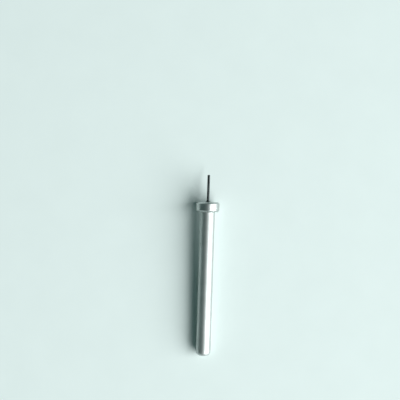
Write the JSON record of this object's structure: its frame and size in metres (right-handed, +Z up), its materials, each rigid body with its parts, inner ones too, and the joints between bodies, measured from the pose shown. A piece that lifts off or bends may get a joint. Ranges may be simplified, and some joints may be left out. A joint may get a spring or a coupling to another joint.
{
  "type": "quilling tool",
  "caption": "Slim metal hand tool lying on its side: a round handle, a wider flat collar and a thin steel needle slotted at its tip to hold and roll a paper strip.",
  "frame": {"origin": "on the table that the tool lies on, halfway along its length and straight under its axis", "axes": "+Y runs along the tool, from the butt to the needle's tip, +Z is up from the table and +X is across the tool; the tool's own axis climbs 1.77 degrees towards the needle, because the collar is wider than the handle"},
  "size_m": [0.008, 0.062, 0.0081],
  "materials": {
    "handle": "turned, satin and bare, dulled by its own oxide",
    "collar": "turned, satin and bare, dulled by its own oxide",
    "needle": "hardened, black oxide, polished lengthwise",
    "adhesive": "cured glossy anaerobic adhesive"
  },
  "bodies": {
    "root": {"handle": "handle", "collar": "collar", "slotted_needle": "needle", "adhesive_bead": "adhesive"}
  },
  "joints": []
}
